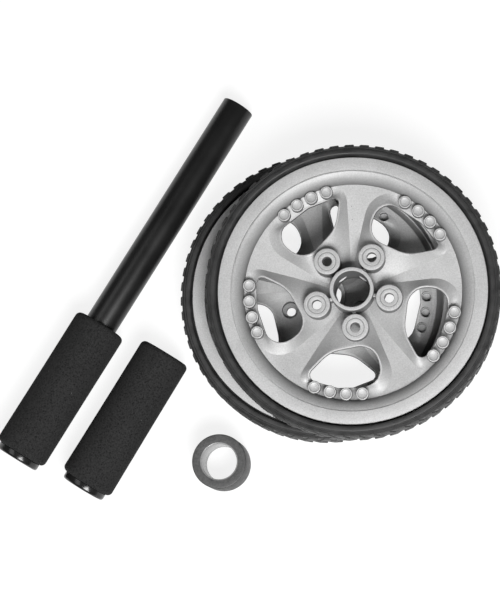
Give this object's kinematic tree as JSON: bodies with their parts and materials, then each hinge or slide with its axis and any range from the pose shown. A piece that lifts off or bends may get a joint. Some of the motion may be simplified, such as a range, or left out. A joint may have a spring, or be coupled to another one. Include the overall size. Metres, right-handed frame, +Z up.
{
  "type": "ab wheel roller",
  "caption": "Ab wheel roller taken apart: spoked wheels with knobbly tyres lying stacked, a rod tube with a foam grip on one end, a loose foam grip and a spacer ring.",
  "frame": {"origin": "on the floor at the mouth of the lower wheel's hub bore, which points down", "axes": "+Z up along both wheels' hub axes, +X to the right of the picture, where the upper wheel is shifted, +Y to the top of the picture, where the rod's free end points"},
  "size_m": [0.3209, 0.2627, 0.0563],
  "materials": {
    "wheel_plastic": "silver-grey moulded plastic, satin",
    "tyre_rubber": "matt black rubber",
    "rod_paint": "black paint, half gloss",
    "grip_foam": "black closed-cell foam with a fine grain",
    "sleeve_plastic": "black moulded plastic, glossy",
    "spacer_plastic": "charcoal moulded plastic, matt"
  },
  "bodies": {
    "rod": {"rod_tube": "rod_paint"},
    "rod_grip": {"rod_grip_foam": "grip_foam", "rod_grip_sleeve": "sleeve_plastic"},
    "lower_wheel": {"lower_wheel_moulding": "wheel_plastic", "lower_tyre": "tyre_rubber"},
    "upper_wheel": {"upper_wheel_moulding": "wheel_plastic", "upper_tyre": "tyre_rubber"},
    "loose_grip": {"loose_grip_foam": "grip_foam", "loose_grip_sleeve": "sleeve_plastic"},
    "spacer": {"spacer_ring": "spacer_plastic"}
  },
  "joints": [
    {"name": "rod_grip_pull", "type": "slide", "parent": "rod", "child": "rod_grip", "axis": [-0.5161, -0.8556, 0.0392], "range_m": [0, 0.12]},
    {"name": "lower_wheel_spin", "type": "hinge", "parent": "rod", "child": "lower_wheel", "pos_m": [0, 0, 0], "axis": [0, 0, 1], "continuous": true},
    {"name": "upper_wheel_spin", "type": "hinge", "parent": "rod", "child": "upper_wheel", "pos_m": [0.0194, -0.0008, 0.0283], "axis": [0, 0, 1], "continuous": true},
    {"name": "loose_grip_lift", "type": "slide", "parent": "rod", "child": "loose_grip", "axis": [0, 0, 1], "range_m": [0, 0.1]},
    {"name": "spacer_lift", "type": "slide", "parent": "rod", "child": "spacer", "axis": [0, 0, 1], "range_m": [0, 0.1]}
  ]
}
